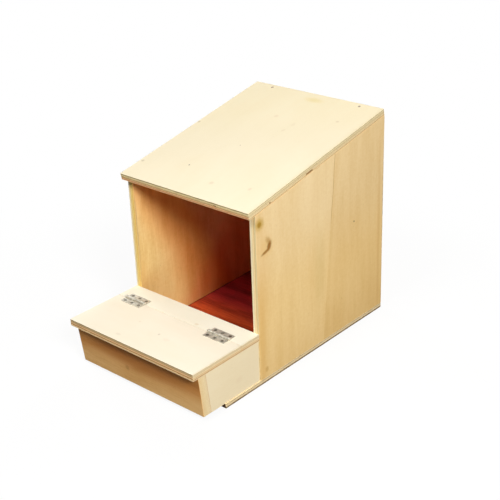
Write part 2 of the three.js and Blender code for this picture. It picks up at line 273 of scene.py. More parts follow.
def veneerMaterial(name, look):
    material, tree, shader = newMaterial(name)
    coords = attribute(tree, "grain").outputs["Vector"]

    def pattern(label, **settings):
        return noiseAt(tree, coords, veneer[label], **settings)
    light = srgb(*look["colour"])
    dark = tuple(c * share for c, share in zip(light, look["darkShare"]))
    fibre = pattern("fibre", detail=4, roughness=0.62)
    hair = pattern("hair", detail=3, roughness=0.6, distortion=0.2)
    patterns = {
        "cloud": pattern("cloud", detail=3, distortion=0.4),
        "figure": pattern("figure", detail=4, roughness=0.55, distortion=0.6),
        "hair": hair,
        "fibre": fibre,
        "mottle": pattern("mottle", detail=3, roughness=0.6),
    }
    darkness = veneer["darkness"]
    for label, value in patterns.items():
        centred = maths(tree, "SUBTRACT", value, 0.5)
        darkness = maths(tree, "MULTIPLY_ADD", centred, look[label], darkness)
    # Growth rings, as a peeled sheet shows them: contour lines of a smooth field
    field = pattern("rings", detail=1.5, roughness=0.4, distortion=0.3)
    rings = maths(tree, "SINE", maths(tree, "MULTIPLY", field, veneer["ringPhase"]))
    darkness = maths(tree, "MULTIPLY_ADD", rings, look["rings"], darkness, clamp=True)
    colour = blendColour(tree, darkness, light, dark)
    # Short brown flecks that lie along the fibres
    fleck = mapRange(tree, pattern("fleck", detail=1), *veneer["fleckFrom"])
    sparse = mapRange(tree, pattern("fleckPlace", detail=1), *veneer["fleckPlaceFrom"])
    flecks = maths(tree, "MULTIPLY", maths(tree, "MULTIPLY", fleck, sparse), look["flecks"])
    colour = blendColour(tree, flecks, colour, tuple(c * veneer["fleckShare"] for c in dark))
    if "seam" in look:
        colour = addSeam(tree, coords, colour, look["seam"])
    colour = addSpots(tree, coords, colour, look.get("spots", ()))
    colour = addPaintedShading(tree, colour, look.get("paintedShading", ()))
    ends = (look["roughness"] + change for change in veneer["polish"])
    roughness = mapRange(tree, fibre, *veneer["fibreRange"], *ends)
    feedAll(tree, shader, {
        "Base Color": colour, "Roughness": roughness, "Specular IOR Level": look["specular"]})
    height = maths(tree, "MULTIPLY_ADD", hair, veneer["hairRelief"], fibre)
    height = maths(tree, "MULTIPLY_ADD", fleck, veneer["fleckRelief"], height)
    addBump(tree, shader, height, look["bump"], veneer["relief"])
    return material


# Sawn edges. An edge's attribute "edge" holds the distance along it, the depth from the show face and
# the ply's number; "ply" is 1 on end grain, 0 on long fibres and negative in a glue line or a void
sawnEdge = {
    "streaks": (40, 2600, 3.1),
    "pores": (900, 1500, 5.3),
    "saw": (420, 30, 0),
    "patches": (30, 260, 7.7),
    "wave": (60, 90, 2.3),
    "waveHeight": 1.6,
    "endFrom": (0.35, 0.65),          # where a pattern or the attribute "ply" begins to tell, and tells fully
    "streakFrom": (0.34, 0.72),
    "poreFrom": (0.34, 0.66),
    "patchFrom": (0.52, 0.72),
    "sawFrom": (0.45, 0.8),
    "glueFrom": (-0.2, -0.6),
    "sawShare": 0.3,
    "sawRelief": 0.8,
    "poreRange": (0.3, 0.7),
    "roughness": (0.66, 0.84),        # at the ends of that range
    "specular": 0.15,
    "bump": 0.35,
    "relief": 0.4,
}


def pliesRamp(tree, depth, look):
    # The plies' tones, from the show face to the back
    ramp = addNode(tree, "ShaderNodeValToRGB")
    feed(tree, ramp.inputs["Fac"], maths(tree, "DIVIDE", depth, look["thickness"] * mm))
    stops = ramp.color_ramp.elements
    for i, (place, tone) in enumerate(look["plies"]):
        stop = stops[i] if i < len(stops) else stops.new(1.0)
        stop.position = place / look["thickness"]
        stop.color = (*srgb(*tone), 1)
    return ramp.outputs["Color"]


def plyEdgeMaterial(name, look):
    material, tree, shader = newMaterial(name)
    coords = attribute(tree, "edge").outputs["Vector"]
    kind = attribute(tree, "ply").outputs["Fac"]
    streaks = noiseAt(tree, coords, sawnEdge["streaks"], detail=3, roughness=0.6)
    pores = noiseAt(tree, coords, sawnEdge["pores"], detail=3, roughness=0.7)
    saw = noiseAt(tree, coords, sawnEdge["saw"], detail=1)
    patches = noiseAt(tree, coords, sawnEdge["patches"], detail=3, roughness=0.6, distortion=0.4)
    # The lines between the plies are nowhere quite straight
    wave = swing(tree, noiseAt(tree, coords, sawnEdge["wave"], detail=3), sawnEdge["waveHeight"] * mm)
    tone = pliesRamp(tree, maths(tree, "ADD", splitAxes(tree, coords)["Y"], wave), look)
    darker = toned(tree, tone, look["grainShare"])
    # Long fibres show streaks, end grain shows pores
    strength = addNode(tree, "ShaderNodeMix", {
        "Factor": mapRange(tree, kind, *sawnEdge["endFrom"]),
        "A": mapRange(tree, streaks, *sawnEdge["streakFrom"]),
        "B": mapRange(tree, pores, *sawnEdge["poreFrom"])}, data_type="FLOAT").outputs["Result"]
    colour = blendColour(tree, strength, tone, darker)
    worn = maths(tree, "MULTIPLY", mapRange(tree, patches, *sawnEdge["patchFrom"]), look["patches"])
    colour = blendColour(tree, worn, colour, srgb(*look["patch"]))
    sawn = maths(tree, "MULTIPLY", mapRange(tree, saw, *sawnEdge["sawFrom"]), sawnEdge["sawShare"])
    colour = blendColour(tree, sawn, colour, darker)
    glue = maths(tree, "MULTIPLY", mapRange(tree, kind, *sawnEdge["glueFrom"]), look["glueStrength"])
    colour = blendColour(tree, glue, colour, srgb(*look["glue"]))
    roughness = mapRange(tree, pores, *sawnEdge["poreRange"], *sawnEdge["roughness"])
    feedAll(tree, shader, {
        "Base Color": colour, "Roughness": roughness, "Specular IOR Level": sawnEdge["specular"]})
    height = maths(tree, "MULTIPLY_ADD", saw, sawnEdge["sawRelief"], maths(tree, "ADD", streaks, pores))
    addBump(tree, shader, height, sawnEdge["bump"], sawnEdge["relief"])
    return material


# Finishes of the boards

def spot(at, size, colour, strength, turn=0, soft=0.5, ragged=0.5):
    # Place and half sizes are measured along the fibres and across them, as "grain" is
    return {"at": at, "size": size, "colour": colour, "strength": strength,
            "turn": turn, "soft": soft, "ragged": ragged}


paleFace = {"cloud": 1.2, "figure": 0.5, "hair": 0.25, "fibre": 0.25, "mottle": 0.25, "rings": 0.03,
            "roughness": 0.62, "specular": 0.12, "bump": 0.12}
sideFace = {"cloud": 0.9, "roughness": 0.60, "specular": 0.15, "bump": 0.18}
trayFace = {"cloud": 0.9, "figure": 0.6, "hair": 0.4, "fibre": 0.4, "mottle": 0.4, "rings": 0.05,
            "flecks": 0.25, "roughness": 0.60, "specular": 0.15, "bump": 0.16}
# Painted shade at the right-hand end of the lid and the strip
endShade = (alongX, 145, 151, (0.86, 0.83, 0.74))
# A painted shading is a direction, where along it the painting starts and is full, and a tone that multiplies
# the colour. It stands in for light or shade on the box
looks = {
    "roof": {
        **paleFace, "colour": (254, 242, 213), "darkShare": (0.95, 0.93, 0.87), "flecks": 0.12,
        # Painted shade darkens the roof's right-hand end, and painted light brightens it towards the rear
        # left
        "paintedShading": [(alongX, 142, 150, (0.95, 0.93, 0.87)), ((-0.4, 1, 0), 30, 260, (1.05, 1.04, 0.99))],
        "spots": [
            spot((-115, 51), (1.6, 1.2), (120, 92, 60), 0.85),
            spot((-23, 11), (1.3, 0.8), (140, 112, 80), 0.6),
            spot((168, -8), (7, 16), (240, 222, 160), 0.6, soft=0.8),
            spot((117, -100), (3, 3), (216, 192, 154), 0.35),
            spot((52, -27), (4, 3), (230, 210, 176), 0.28),
            spot((90, 20), (4, 4), (230, 210, 176), 0.35),
            spot((76, -31), (5, 3), (230, 210, 176), 0.22),
            spot((-131, -103), (4, 3), (226, 206, 172), 0.4),
            spot((-144, -28), (4, 4), (226, 206, 172), 0.4),
            spot((-140, 143), (3, 3), (196, 182, 152), 0.5),
            spot((14, 146), (3, 3), (196, 182, 152), 0.5),
        ],
    },
    "lid": {
        **paleFace, "colour": (253, 244, 223), "darkShare": (0.95, 0.93, 0.88), "flecks": 0.10,
        "paintedShading": [endShade],
        "spots": [
            spot((-43, -42), (5, 3), (228, 218, 194), 0.5),
            spot((14, 0), (2, 2.5), (206, 196, 172), 0.55),
            spot((-45, 11), (3, 2), (232, 220, 194), 0.4),
            spot((37, -6), (6, 4), (240, 228, 204), 0.4),
        ],
    },
    "strip": {
        **paleFace, "colour": (255, 251, 232), "darkShare": (0.94, 0.91, 0.84), "cloud": 1.1, "figure": 0.6,
        "hair": 0.3, "fibre": 0.3, "mottle": 0.3, "rings": 0.04, "flecks": 0.15, "bump": 0.14,
        "paintedShading": [endShade],
        "spots": [spot((41, -17), (4, 3), (228, 208, 168), 0.45)],
    },
    "side": {
        **sideFace, "colour": (247, 214, 155), "darkShare": (0.90, 0.85, 0.74), "figure": 0.8,
        "hair": 0.6, "fibre": 0.5, "mottle": 0.5, "rings": 0.14, "flecks": 0.35,
    },
    "rightSide": {
        **sideFace, "colour": (255, 227, 176), "darkShare": (0.90, 0.84, 0.72), "figure": 1.1,
        "hair": 0.7, "fibre": 0.6, "mottle": 0.9, "rings": 0.12, "flecks": 0.4,
        # Painted shade: the panel turns yellower and darker towards its bottom
        "paintedShading": [(alongZ, 300, 130, (0.99, 0.93, 0.77)), (alongZ, 110, 5, (0.95, 0.93, 0.90))],
        "seam": {"at": -14.5, "side": -1, "width": 0.9, "core": 0.2, "blur": 0.6, "wander": 4.0, "lean": 0.10,
                 "ends": (40, 70), "sheet": (0.95, 0.92, 0.86), "colour": (198, 156, 92), "strength": 0.85},
        "spots": [
            spot((-100, 172), (90, 7), (236, 192, 118), 0.45, soft=0.8),
            spot((10, 166), (80, 14), (232, 186, 118), 0.3, soft=0.9),
            spot((-10, -167), (150, 4), (220, 174, 104), 0.35, soft=0.8),
            spot((-25, 12), (60, 14), (214, 188, 124), 0.25, soft=0.9),
            spot((33, -89), (1.6, 1.4), (96, 66, 30), 0.9),
            spot((119, 171), (22, 9), (232, 190, 118), 0.4, soft=0.8),
            spot((120, 170.5), (9, 9), (204, 164, 72), 0.85, soft=0.7),
            spot((119, 171), (4.5, 4.5), (168, 124, 38), 0.75),
            spot((74, 158), (16, 16), (236, 190, 112), 0.35, soft=0.8),
            # Three strokes make the curved mark by the front edge
            spot((83, 149), (8, 4.2), (190, 144, 74), 0.7, turn=143, soft=0.8, ragged=0.4),
            spot((73.5, 148), (8, 4.6), (150, 98, 32), 0.9, turn=-158, ragged=0.3),
            spot((65.8, 157.2), (10.5, 2.7), (164, 114, 48), 0.9, turn=-107, ragged=0.3),
            spot((148, 144), (1.2, 1.5), (120, 90, 50), 0.8),
            spot((-157, 163), (5, 4), (206, 164, 90), 0.5),
        ],
    },
    "inside": {
        "colour": (250, 221, 154), "darkShare": (0.88, 0.78, 0.64), "cloud": 1.2, "figure": 1.9,
        "hair": 1.6, "fibre": 0.8, "mottle": 1.0, "rings": 0.25, "flecks": 0.5, "roughness": 0.66,
        "specular": 0.05, "bump": 0.18,
        # Painted shade: the inner faces turn darker and redder towards the back and low down, and paler again
        # deepest in
        "paintedShading": [(alongZ, 150, 95, (0.95, 0.86, 0.78)), ((0, 1, 0.55), 12, 108, (0.96, 0.56, 0.36)),
                  ((0, 1, 0.55), 135, 185, (1.0, 1.25, 2.2)), ((0, 1, -1), -50, 30, (0.97, 0.72, 0.72))],
    },
    "trayRight": {
        **trayFace, "colour": (254, 238, 202), "darkShare": (0.95, 0.91, 0.84),
        "spots": [spot((10, -11), (7, 5), (238, 212, 172), 0.3, soft=0.9)],
    },
    "traySide": {**trayFace, "colour": (246, 228, 188), "darkShare": (0.94, 0.90, 0.82)},
    "trayFront": {
        "colour": (241, 193, 127), "darkShare": (0.84, 0.75, 0.62), "cloud": 2.0, "figure": 2.2,
        "hair": 1.4, "fibre": 0.8, "mottle": 0.6, "rings": 0.30, "flecks": 0.5, "roughness": 0.62,
        "specular": 0.12, "bump": 0.22,
        # Painted shade: the board darkens and warms towards its top, under the lid
        "paintedShading": [(alongZ, 24, 60, (0.75, 0.56, 0.38))],
        "spots": [
            # Painted shadow of the lid: a soft dark band across the board's upper middle
            spot((4, 16), (116, 18), (176, 106, 42), 0.45, soft=0.6, ragged=0.12),
            spot((-29, -9.8), (4.5, 5), (150, 108, 56), 0.32),
        ],
    },
    "floor": {
        "colour": (220, 95, 46), "darkShare": (0.40, 0.24, 0.24), "cloud": 0.5, "figure": 1.7,
        "hair": 1.9, "fibre": 1.0, "mottle": 0.4, "rings": 0.3, "flecks": 0.6, "roughness": 0.45,
        "specular": 0.2, "bump": 0.25,
        # Painted shade: the floor darkens towards the back and in a narrow strip along the left wall
        "paintedShading": [(alongY, 5, 95, (0.55, 0.22, 1.1)), (alongX, -130, -136, (0.3, 0.3, 0.4))],
    },
    "batten": {
        "colour": (236, 200, 148), "darkShare": (0.82, 0.72, 0.56), "cloud": 0.5, "figure": 1.0,
        "hair": 0.8, "fibre": 0.8, "mottle": 0.4, "rings": 0.3, "flecks": 0.4, "roughness": 0.68,
        "specular": 0.15, "bump": 0.3,
    },
}

# Tones of the sawn edges: plies are pairs of a depth from the show face and the tone there
boardEdge = {"thickness": 13.0, "patches": 0.3, "glueStrength": 0.5}
baseEdge = {"thickness": 9.0, "patches": 0.3, "glueStrength": 0.5}
edgeLooks = {
    "plyEdge": {
        **boardEdge, "grainShare": (0.90, 0.85, 0.76), "patch": (216, 184, 132), "glue": (186, 146, 98),
        "plies": [(0.0, (252, 236, 200)), (1.6, (240, 220, 182)), (4.4, (234, 214, 174)),
                  (5.2, (255, 236, 194)), (6.0, (254, 230, 186)), (7.0, (244, 216, 168)),
                  (10.0, (242, 212, 164)), (10.6, (194, 146, 96)), (11.1, (198, 150, 100)),
                  (11.7, (252, 226, 180))],
    },
    "roofSideEdge": {
        **boardEdge, "grainShare": (0.92, 0.88, 0.80), "patch": (226, 200, 148), "glue": (132, 92, 48),
        "glueStrength": 0.75,
        "plies": [(0.0, (240, 226, 188)), (1.0, (232, 216, 176)), (1.5, (222, 208, 168)),
                  (2.1, (224, 210, 170)), (2.6, (248, 232, 188)), (5.6, (242, 222, 176)),
                  (6.1, (222, 200, 152)), (6.7, (224, 202, 154)), (7.2, (252, 230, 184)),
                  (10.2, (248, 224, 176)), (10.7, (226, 196, 142)), (11.3, (230, 200, 146)),
                  (11.8, (248, 220, 168))],
    },
    "lidFrontEdge": {
        **boardEdge, "grainShare": (0.88, 0.80, 0.68), "patch": (188, 154, 108), "glue": (120, 80, 44),
        "glueStrength": 0.7,
        "plies": [(0.0, (214, 202, 166)), (0.9, (206, 186, 144)), (1.3, (172, 148, 106)),
                  (1.9, (178, 154, 112)), (2.4, (214, 186, 140)), (5.0, (214, 184, 134)),
                  (6.0, (250, 208, 156)), (8.0, (250, 206, 152)), (8.6, (180, 124, 72)),
                  (9.4, (184, 128, 76)), (9.9, (255, 224, 170)), (13.0, (255, 222, 168))],
    },
    "roofFrontEdge": {
        **boardEdge, "grainShare": (0.88, 0.80, 0.66), "patch": (172, 138, 84), "glue": (150, 104, 56),
        "patches": 0.5, "glueStrength": 0.65,
        "plies": [(0.0, (255, 244, 212)), (0.9, (246, 228, 186)), (1.5, (150, 138, 98)),
                  (2.4, (164, 150, 106)), (3.0, (255, 240, 192)), (6.2, (248, 226, 172)),
                  (6.9, (196, 158, 104)), (7.5, (206, 166, 112)), (8.1, (255, 216, 166)),
                  (9.7, (255, 206, 154)), (10.2, (208, 128, 80)), (10.8, (216, 136, 86)),
                  (11.3, (255, 214, 168)), (13.0, (255, 206, 160))],
    },
    "leftFrontEdge": {
        **boardEdge, "grainShare": (0.92, 0.84, 0.70), "patch": (244, 200, 130), "glue": (206, 160, 96),
        "plies": [(0.0, (255, 250, 228)), (2.0, (255, 246, 214)), (4.0, (255, 238, 186)),
                  (4.6, (246, 206, 130)), (5.2, (248, 208, 132)), (6.0, (255, 232, 150)),
                  (8.6, (255, 228, 144)), (9.2, (240, 178, 96)), (10.0, (255, 222, 136)),
                  (13.0, (255, 214, 130))],
    },
    "rightFrontEdge": {
        **boardEdge, "grainShare": (0.92, 0.86, 0.76), "patch": (240, 208, 150), "glue": (206, 164, 106),
        "plies": [(0.0, (230, 216, 172)), (3.4, (240, 222, 168)), (4.0, (230, 200, 146)),
                  (4.6, (236, 204, 148)), (5.4, (254, 232, 178)), (8.0, (255, 238, 190)),
                  (8.6, (240, 208, 156)), (9.4, (255, 246, 212)), (13.0, (255, 244, 210))],
    },
    "solidEdge": {
        "thickness": 18.0, "grainShare": (0.90, 0.82, 0.70), "patches": 0.3, "patch": (236, 200, 146),
        "glue": (206, 164, 106), "glueStrength": 0.0,
        "plies": [(0.0, (254, 226, 172)), (6.0, (252, 228, 178)), (12.0, (254, 234, 190)),
                  (18.0, (250, 230, 190))],
    },
    "baseEdge": {
        **baseEdge, "grainShare": (0.88, 0.82, 0.72), "patch": (206, 180, 138), "glue": (150, 124, 88),
        # The lower ply is darker wood, and its foot darkens to near black: painted shade where the board
        # meets the floor
        "plies": [(0.0, (200, 174, 126)), (1.6, (208, 184, 136)), (2.4, (252, 230, 186)),
                  (5.2, (250, 230, 188)), (6.2, (150, 124, 88)), (9.0, (80, 62, 42))],
    },
    # Painted shade: the base board's front end is dark all through, as it lies in shade under the tray
    "baseFrontEdgePaintedShade": {
        **baseEdge, "grainShare": (0.80, 0.72, 0.62), "patch": (70, 50, 30), "glue": (50, 34, 20),
        "patches": 0.4, "glueStrength": 0.7,
        "plies": [(0.0, (132, 102, 68)), (2.8, (98, 72, 46)), (5.0, (72, 50, 32)), (9.0, (52, 34, 22))],
    },
    "floorEdge": {
        "thickness": 3.0, "grainShare": (0.6, 0.5, 0.5), "patches": 0.3, "patch": (90, 28, 16),
        "glue": (50, 16, 10), "glueStrength": 0.6,
        "plies": [(0.0, (150, 52, 30)), (3.0, (110, 36, 22))],
    },
}
wood = {name: veneerMaterial(name + "Veneer", look) for name, look in looks.items()}
wood.update({name: plyEdgeMaterial(name, look) for name, look in edgeLooks.items()})
print("wood finishes made:", len(wood))


# Boards
plywood = {
    "arris": 0.55,            # rounding of the edges between face and edge
    "corner": 0.9,            # rounding of the corners of the outline
    "roundSteps": 3,          # steps in such a rounding
    "step": 3.0,              # spacing of the points along an edge
    "glueWidth": 0.30,
    "glueDepth": 0.22,
    "relief": 0.05,           # how far a ply stands back on average
    "reliefStretch": 55,      # stretches are per metre along an edge
    "wear": 0.55,             # how much the rounding varies, as a share of it
    "wearStretch": 95,
    "biteFrom": 0.28,         # from this height of the pattern an edge is bruised
    "biteStrength": 2.2,
    "biteStretch": 260,
    "widestShare": 0.92,      # widest rounding, as a share of the room in the outer ply
    "outerLoopShare": 0.4,    # place of an outer ply's inner points, and of a middle ply's
    "innerLoopShare": 0.12,
    "voidSteps": 10,          # points on either side of a void's middle
    "voidMargin": 1.2,
    "voidEase": 0.5,
    "voidStretch": 900,
    "raggedShare": 0.25,
    "facing": 0.7,            # least cosine of the angle between two directions that count as one
    "grainShift": 0.37,       # what keeps the patterns of boards, edges and a board's two sides apart
    "backShift": 3.1,
    "edgeShift": 0.61,
    "voidFrom": (0.3, 1.2),   # depths between which an edge takes the tone of a void
    "voidTone": 0.75,
}


def hullOf(points):
    # Convex outline of points [y, z], without the points that lie along its sides
    ordered = sorted(set((round(y, 6), round(z, 6)) for y, z in points))

    def half(sequence):
        chain = []
        for p in sequence:
            while len(chain) > 1 and (
                (chain[-1][0] - chain[-2][0]) * (p[1] - chain[-2][1])
                - (chain[-1][1] - chain[-2][1]) * (p[0] - chain[-2][0])
            ) <= 2e-6:
                chain.pop()
            chain.append(p)
        return chain[:-1]
    return half(ordered) + half(ordered[::-1])


def boardFaces(nodeName, shows):
    # The corners of a board's show face and of its back, in matching order, counter-clockwise round
    # the show face, which looks towards "shows". A board that shows sideways keeps its outline as it is,
    # and any other is a long strip in its outline, with two faces of four corners
    low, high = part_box(nodeName)
    outline = hullOf([(v.co.y, v.co.z) for v in nodes[nodeName].data.vertices])
    if shows[0]:
        order = outline if shows[0] > 0 else outline[::-1]
        near, far = (high.x, low.x) if shows[0] > 0 else (low.x, high.x)
        return [Vector((near, y, z)) for y, z in order], [Vector((far, y, z)) for y, z in order]
    lengths = [(Vector(outline[i]) - Vector(outline[(i + 1) % 4])).length for i in range(4)]
    first = max((0, 1), key=lambda i: lengths[i] + lengths[i + 2])

    def cornersOf(start, end):
        (y0, z0), (y1, z1) = outline[start % 4], outline[end % 4]
        ends = ((low.x, y0, z0), (high.x, y0, z0), (high.x, y1, z1), (low.x, y1, z1))
        return [Vector(p) for p in ends]
    faceA, faceB = cornersOf(first, first + 1), cornersOf(first + 3, first + 2)
    if (faceA[0] - faceB[0]).dot(Vector(shows)) < 0:
        faceA, faceB = faceB, faceA
    if normalOf(faceA).dot(faceA[0] - faceB[0]) < 0:
        faceA.reverse()
        faceB.reverse()
    return faceA, faceB


def normalOf(corners):
    return (corners[1] - corners[0]).cross(corners[2] - corners[1]).normalized()


def sidesOf(corners):
    return [corners[(k + 1) % len(corners)] - corners[k] for k in range(len(corners))]


def roundedOutline(corners, normal, radius, step, extras):
    # Points round an outline with rounded corners: place, inward direction, edge number and distance
    # along that edge. extras maps an edge's number to more distances that need a point
    count = len(corners)
    edges = sidesOf(corners)
    inward = [normal.cross(e).normalized() for e in edges]
    bisectors = [(inward[k - 1] + inward[k]).normalized() for k in range(count)]
    tangents = [radius / bisectors[k].dot(inward[k]) for k in range(count)]
    reaches = [math.sqrt(max(t ** 2 - radius ** 2, 0)) for t in tangents]
    steps = plywood["roundSteps"]
    samples = []
    for k in range(count):
        centre = corners[k] + bisectors[k] * tangents[k]
        for i in range(steps + 1):
            direction = inward[k - 1].lerp(inward[k], i / steps).normalized()
            samples.append((centre - direction * radius, direction, k, reaches[k] if i == steps else 0.0))
        start, end = reaches[k], edges[k].length - reaches[(k + 1) % count]
        pieces = max(2, int((end - start) / step))
        marks = [start + (end - start) * i / pieces for i in range(1, pieces)]
        marks += [m for m in extras.get(k, ()) if start + step / 4 < m < end - step / 4]
        along = edges[k].normalized()
        samples += [(corners[k] + along * m, inward[k], k, m) for m in sorted(marks)]
    return samples


def fadeIn(value, low, high):
    t = min(max((value - low) / (high - low), 0), 1)
    return t * t * (3 - 2 * t)


def placeVoid(gap, corners):
    # The edge that lies nearest to the void's place, and how far along it the void is
    place = Vector(gap["near"]) * mm
    sides = sidesOf(corners)

    def distanceTo(k):
        share = min(max((place - corners[k]).dot(sides[k]) / sides[k].length_squared, 0), 1)
        return (corners[k] + sides[k] * share - place).length
    k = min(range(len(corners)), key=distanceTo)
    return {**gap, "edge": k, "at": (place - corners[k]).dot(sides[k].normalized()) * 1000}


def voidDepth(gap, along, seed):
    # How deep a void in one ply is at a place along the edge, with ragged ends
    reach = gap["length"] * mm / 2
    roughly = noise.noise(Vector((along * plywood["voidStretch"], seed, 0)))
    inside = reach - abs(along - gap["at"] * mm) + plywood["raggedShare"] * reach * roughly
    return gap["deep"] * mm * fadeIn(inside, 0, plywood["voidEase"] * mm)


def levelsOf(plies, thickness, arris):
    # The rings of points from face to back, as (kind, value, ply). The value is a depth, or on the
    # roundings at the face ("arris") and at the back a share of their quarter turn
    glue, last, steps = plywood["glueWidth"] * mm, len(plies) - 1, plywood["roundSteps"]
    levels = [("arris", i / steps, 0) for i in range(steps + 1)]
    bottom = 0.0
    for index, share in enumerate(plies):
        top = bottom
        bottom = top + share * thickness / sum(plies)
        start = top + (glue / 2 if index else arris)
        end = bottom - (glue / 2 if index < last else arris)
        inner = (end - start) * plywood["outerLoopShare" if index in (0, last) else "innerLoopShare"]
        levels += [("ply", d, index) for d in (start, start + inner, end - inner, end)][0 if index else 1:]
        if index < last:
            levels.append(("glue", bottom, index))
    return levels[:-1] + [("back", i / steps, last) for i in range(steps + 1)]


def roundingAt(along, k, seed, arris, widest):
    # Edges are worn more in some places than in others, and bruised here and there. In each noise
    # below, odd numbers keep the patterns of edges, plies and boards apart
    worn = noise.noise(Vector((along * plywood["wearStretch"], k * 7.3 + seed, 1.7)))
    bruise = noise.noise(Vector((along * plywood["biteStretch"], k * 3.1 + seed, 4.2)))
    bite = max(0, bruise - plywood["biteFrom"]) * plywood["biteStrength"]
    return min(arris * (1 + plywood["wear"] * worn + bite), widest)


def profileAt(level, radius, along, k, seed, thickness):
    # Depth from the show face, and how far the point stands back from the flat edge
    kind, value, ply = level
    if kind == "glue":
        return value, plywood["glueDepth"] * mm
    if kind == "ply":
        relief = noise.noise(Vector((along * plywood["reliefStretch"], ply * 5.1 + k, seed)))
        return value, plywood["relief"] * mm * (1 + relief)
    turn = (value if kind == "arris" else 1 - value) * math.pi / 2
    depth = radius * (1 - math.cos(turn))
    return depth if kind == "arris" else thickness - depth, radius * (1 - math.sin(turn))


def buildBoard(name, settings):
    faceA, faceB = boardFaces(settings["node"], settings["shows"])
    normal = normalOf(faceA)
    thickness = abs((faceA[0] - faceB[0]).dot(normal))
    arris, seed = settings["arris"] * mm, settings["seed"]
    gaps = [placeVoid(gap, faceA) for gap in settings["voids"]]
    extras, steps = {}, plywood["voidSteps"]
    for gap in gaps:
        reach = (gap["length"] / 2 + plywood["voidMargin"]) * mm
        places = [gap["at"] * mm + i / steps * reach for i in range(-steps, steps + 1)]
        extras.setdefault(gap["edge"], []).extend(places)
    outline = roundedOutline(faceA, normal, plywood["corner"] * mm, plywood["step"] * mm, extras)
    levels = levelsOf(settings["plies"], thickness, arris)
    firstPly, lastPly = plywood["roundSteps"] + 1, -plywood["roundSteps"] - 2
    widest = plywood["widestShare"] * min(levels[firstPly][1], thickness - levels[lastPly][1])
    edges = sidesOf(faceA)
    slide = [b - a for a, b in zip(faceA, faceB)]

    mesh = bmesh.new()
    rings, coords = [], []
    for index, level in enumerate(levels):
        kind, _, ply = level
        inPly = kind == "ply" and levels[index - 1][2] == ply == levels[index + 1][2]
        ring, places = [], []
        for place, inwards, k, along in outline:
            radius = roundingAt(along, k, seed, arris, widest)
            depth, inset = profileAt(level, radius, along, k, seed, thickness)
            for gap in gaps:
                if inPly and (gap["edge"], gap["ply"]) == (k, ply):
                    inset = max(inset, voidDepth(gap, along, seed + ply))
            # The edge may lean: each place slides towards its match on the back
            lean = slide[k].lerp(slide[(k + 1) % len(slide)], min(along / edges[k].length, 1))
            ring.append(mesh.verts.new(place + lean * (depth / thickness) + inwards * inset))
            places.append((along, depth, k, inset))
        rings.append(ring)
        coords.append(places)

    grainLayer = mesh.loops.layers.float_vector.new("grain")
    edgeLayer = mesh.loops.layers.float_vector.new("edge")
    plyLayer = mesh.loops.layers.float.new("ply")
    grainAxis = Vector(settings["grain"])
    grainAxis = (grainAxis - normal * grainAxis.dot(normal)).normalized()
    acrossAxis = normal.cross(grainAxis)
    centre = sum(faceA, Vector()) / len(faceA)
    faceOffset = seed * plywood["grainShift"]
    backOffset = faceOffset + plywood["backShift"]

    def addFace(corners, slot, offset):
        face = mesh.faces.new(corners)
        face.material_index = slot
        for loop in face.loops:
            local = loop.vert.co - centre
            loop[grainLayer] = Vector((local.dot(grainAxis), local.dot(acrossAxis), offset))
        return face

    # Slots: 0 is the show face, 1 the sawn edge, 2 the back and 3 the sawn edge at the front
    frontness = [e.cross(normal).normalized().dot(Vector(toFront)) for e in edges]
    edgeSlots = [3 if settings["frontEdge"] and f > plywood["facing"] else 1 for f in frontness]
    addFace(rings[0], 0, faceOffset)
    addFace(rings[-1][::-1], 2, backOffset)
    for level in range(len(rings) - 1):
        (kindNow, _, plyNow), (kindNext, _, plyNext) = levels[level], levels[level + 1]
        ply = plyNow if kindNow == "ply" else plyNext
        for i in range(len(outline)):
            j, k = (i + 1) % len(outline), outline[i][2]
            slot = {("arris", "arris"): 0, ("back", "back"): 2}.get((kindNow, kindNext), edgeSlots[k])
            points = ((level, i), (level + 1, i), (level + 1, j), (level, j))
            face = addFace([rings[a][b] for a, b in points], slot, backOffset if slot else faceOffset)
            plyAlong = grainAxis if ply % 2 == 0 else acrossAxis
            isEnd = 1.0 if abs(edges[k].normalized().dot(plyAlong)) < plywood["facing"] else 0.0
            for loop, (a, b) in zip(face.loops, points):
                along, depth, sampleEdge, inset = coords[a][b]
                if sampleEdge != k:
                    along = edges[k].length
                loop[edgeLayer] = Vector((along + plywood["edgeShift"] * k, depth,
                                          ply + plywood["grainShift"] * k + faceOffset))
                hollow = fadeIn(inset, *(d * mm for d in plywood["voidFrom"]))
                isGlue = "glue" in (kindNow, kindNext)
                loop[plyLayer] = -1.0 if isGlue else isEnd * (1 - hollow) - plywood["voidTone"] * hollow
    bmesh.ops.triangulate(mesh, faces=[f for f in mesh.faces if len(f.verts) > 4], ngon_method="BEAUTY")
    data = bpy.data.meshes.new(name)
    mesh.to_mesh(data)
    mesh.free()
    for finish in (*settings["finishes"], settings["frontEdge"]):
        if finish:
            data.materials.append(wood[finish])
    finishPiece(addObject(name, data), settings["body"], settings["slot"], settings["node"])


fivePlies, threePlies, solid = (1.8, 3.1, 3.2, 3.1, 1.8), (1.0, 1.0, 1.0), (1.0,)
boardDefaults = {"shows": alongZ, "plies": fivePlies, "arris": plywood["arris"], "frontEdge": None,
                 "voids": (), "body": fixedBody}
